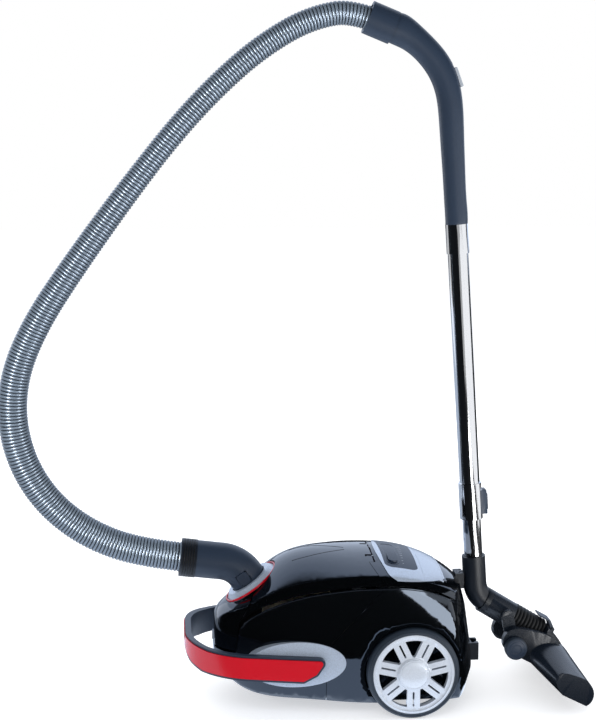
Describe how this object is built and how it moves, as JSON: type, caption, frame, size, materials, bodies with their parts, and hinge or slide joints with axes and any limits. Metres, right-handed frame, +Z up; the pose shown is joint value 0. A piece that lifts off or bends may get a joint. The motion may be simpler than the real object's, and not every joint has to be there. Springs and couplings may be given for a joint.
{
  "type": "canister vacuum cleaner",
  "caption": "Canister vacuum cleaner with a hinged lid, large spoked rear wheels, ribbed hose, telescopic wand and a swivelling floor nozzle parked on the rear.",
  "frame": {"origin": "on the floor, under the middle of the canister and its parked wand, left of which the hose arches", "axes": "+Z up along the wand, +X from the handle to the rear of the canister, +Y across the wheels"},
  "size_m": [1.0018, 0.29, 1.1943],
  "materials": {
    "gloss_black": "gloss black moulded plastic",
    "dark_plastic": "satin dark blue-grey plastic",
    "silver_paint": "silver painted plastic",
    "red_gloss": "gloss red plastic",
    "rim_silver": "silver painted wheel plastic",
    "tyre_rubber": "dark grey rubber",
    "soft_rubber": "black rubber",
    "hose_vinyl": "satin grey ribbed vinyl",
    "chrome": "polished chrome",
    "steel": "zinc plated steel",
    "grey_plastic": "light grey plastic",
    "white_paper": "filter paper",
    "foam": "open foam",
    "bristle": "black nylon bristle"
  },
  "bodies": {
    "canister": {"base_tub": "gloss_black", "rear_shell": "gloss_black", "nose_housing": "gloss_black", "rear_deck": "gloss_black", "control_panel": "silver_paint", "control_inset": "dark_plastic", "handle_frame": "dark_plastic", "handle_band": "red_gloss", "side_trims": "silver_paint", "inlet_ring": "silver_paint", "inlet_accent": "red_gloss", "bulkhead": "grey_plastic", "motor_housing": "grey_plastic", "motor_mounts": "soft_rubber", "motor_filter": "foam", "exhaust_grille": "dark_plastic", "park_bracket": "dark_plastic", "lower_bracket": "dark_plastic", "cord_outlet": "dark_plastic", "base_screws": "steel", "wheel_axles": "steel", "dust_bag": "white_paper", "bag_plate": "grey_plastic", "hose_lower": "hose_vinyl", "hose_middle": "hose_vinyl"},
    "lid": {"lid": "gloss_black", "lid_seal": "soft_rubber"},
    "latch": {"lid_latch": "gloss_black"},
    "power_button": {"power_button": "silver_paint"},
    "rewind_button": {"rewind_button": "silver_paint"},
    "power_slider": {"power_slider": "dark_plastic"},
    "reel_brake": {"reel_brake": "grey_plastic"},
    "wheel_left": {"tyre_left": "tyre_rubber", "rim_left": "rim_silver"},
    "wheel_right": {"tyre_right": "tyre_rubber", "rim_right": "rim_silver"},
    "caster_fork": {"caster_fork": "dark_plastic"},
    "caster_roller": {"caster_roller": "dark_plastic"},
    "fan_rotor": {"fan_rotor": "steel"},
    "cord_drum": {"cord_drum": "grey_plastic"},
    "elbow": {"hose_elbow": "dark_plastic", "hose_cuff": "dark_plastic"},
    "elbow_button_left": {"elbow_button_left": "dark_plastic"},
    "elbow_button_right": {"elbow_button_right": "dark_plastic"},
    "wand_lower": {"nozzle_neck": "dark_plastic", "inner_tube": "chrome", "hose_upper": "hose_vinyl"},
    "wand_upper": {"outer_tube": "chrome", "tube_collar": "dark_plastic", "grip": "dark_plastic", "grip_collar": "dark_plastic"},
    "tube_button": {"tube_button": "dark_plastic"},
    "suction_slider": {"suction_slider": "grey_plastic"},
    "nozzle_pipe": {"nozzle_pipe": "gloss_black", "hinge_cover": "soft_rubber"},
    "nozzle_head": {"nozzle_head": "gloss_black", "sole_plate": "dark_plastic"},
    "nozzle_wheels": {"nozzle_wheels": "tyre_rubber"},
    "brush_pedal": {"brush_pedal": "dark_plastic"},
    "brush_strip": {"brush_strip": "bristle"}
  },
  "joints": [
    {"name": "lid_hinge", "type": "hinge", "parent": "canister", "child": "lid", "pos_m": [-0.033, 0, 0.2525], "axis": [0, 1, 0], "range_deg": [0, 70]},
    {"name": "latch_press", "type": "slide", "parent": "lid", "child": "latch", "axis": [0, 0.6018, -0.7986], "range_m": [0, 0.003], "stiffness_N_per_m": 400, "springref_m": -0.001},
    {"name": "power_press", "type": "slide", "parent": "canister", "child": "power_button", "axis": [0, 0, -1], "range_m": [0, 0.003], "stiffness_N_per_m": 500, "springref_m": -0.002},
    {"name": "rewind_press", "type": "slide", "parent": "canister", "child": "rewind_button", "axis": [0, 0, -1], "range_m": [0, 0.003], "stiffness_N_per_m": 500, "springref_m": -0.002},
    {"name": "brake_lift", "type": "slide", "parent": "canister", "child": "reel_brake", "axis": [0, 0, -1], "range_m": [0, 0.003]},
    {"name": "power_level", "type": "hinge", "parent": "canister", "child": "power_slider", "pos_m": [0.008, 0, -0.12229], "axis": [-0.9923, 0, 0.124], "range_deg": [0, 9]},
    {"name": "wheel_left_spin", "type": "hinge", "parent": "canister", "child": "wheel_left", "pos_m": [0.033, -0.125, 0.0785], "axis": [0, 1, 0], "continuous": true},
    {"name": "wheel_right_spin", "type": "hinge", "parent": "canister", "child": "wheel_right", "pos_m": [0.033, 0.125, 0.0785], "axis": [0, 1, 0], "continuous": true},
    {"name": "caster_swivel", "type": "hinge", "parent": "canister", "child": "caster_fork", "pos_m": [-0.212, 0, 0.04], "axis": [0, 0, 1], "continuous": true},
    {"name": "caster_roll", "type": "hinge", "parent": "caster_fork", "child": "caster_roller", "pos_m": [-0.203, 0, 0.011], "axis": [0, 1, 0], "continuous": true},
    {"name": "fan_spin", "type": "hinge", "parent": "canister", "child": "fan_rotor", "pos_m": [0.02, -0.042, 0.112], "axis": [1, 0, 0], "continuous": true},
    {"name": "drum_spin", "type": "hinge", "parent": "canister", "child": "cord_drum", "pos_m": [0.052, 0.05, 0.124], "axis": [0, 1, 0], "continuous": true},
    {"name": "elbow_swivel", "type": "hinge", "parent": "canister", "child": "elbow", "pos_m": [-0.232, 0, 0.2027], "axis": [-0.5807, 0, 0.8141], "range_deg": [-40, 40], "deforming": ["hose_lower"]},
    {"name": "elbow_press_left", "type": "slide", "parent": "elbow", "child": "elbow_button_left", "axis": [0, 1, 0], "range_m": [0, 0.003], "stiffness_N_per_m": 400, "springref_m": -0.001},
    {"name": "elbow_press_right", "type": "slide", "parent": "elbow", "child": "elbow_button_right", "axis": [0, -1, 0], "range_m": [0, 0.003], "stiffness_N_per_m": 400, "springref_m": -0.001},
    {"name": "wand_lift", "type": "slide", "parent": "canister", "child": "wand_lower", "axis": [0, 0, 1], "range_m": [0, 0.045], "deforming": ["hose_middle"]},
    {"name": "wand_extend", "type": "slide", "parent": "wand_lower", "child": "wand_upper", "axis": [-0.068, 0, 0.9977], "range_m": [0, 0.3], "deforming": ["hose_upper"]},
    {"name": "tube_release", "type": "slide", "parent": "wand_upper", "child": "tube_button", "axis": [-0.9977, 0, -0.068], "range_m": [0, 0.004], "stiffness_N_per_m": 400, "springref_m": -0.001},
    {"name": "suction_bleed", "type": "slide", "parent": "wand_upper", "child": "suction_slider", "axis": [0.3517, 0, -0.9361], "range_m": [0, 0.006]},
    {"name": "nozzle_swivel", "type": "hinge", "parent": "wand_lower", "child": "nozzle_pipe", "pos_m": [0.186, 0, 0.1565], "axis": [0.8508, 0, -0.5255], "range_deg": [-45, 45]},
    {"name": "nozzle_tilt", "type": "hinge", "parent": "nozzle_pipe", "child": "nozzle_head", "pos_m": [0.227, 0, 0.087], "axis": [0, -1, 0], "range_deg": [0, 28], "deforming": ["hinge_cover"]},
    {"name": "nozzle_wheel_spin", "type": "hinge", "parent": "nozzle_head", "child": "nozzle_wheels", "pos_m": [0.227, 0, 0.087], "axis": [0, 1, 0], "continuous": true},
    {"name": "pedal_press", "type": "hinge", "parent": "nozzle_head", "child": "brush_pedal", "pos_m": [0.30206, 0, 0.10655], "axis": [0, -1, 0], "range_deg": [0, 3], "stiffness_Nm_per_rad": 1, "springref_deg": -5.73},
    {"name": "brush_drop", "type": "slide", "parent": "nozzle_head", "child": "brush_strip", "axis": [-0.454, 0, -0.891], "range_m": [0, 0.004]}
  ],
  "couplings": [
    {"joint": "brake_lift", "follows": "rewind_press", "ratio": 1},
    {"joint": "brush_drop", "follows": "pedal_press", "m_per_rad": 0.074485}
  ]
}
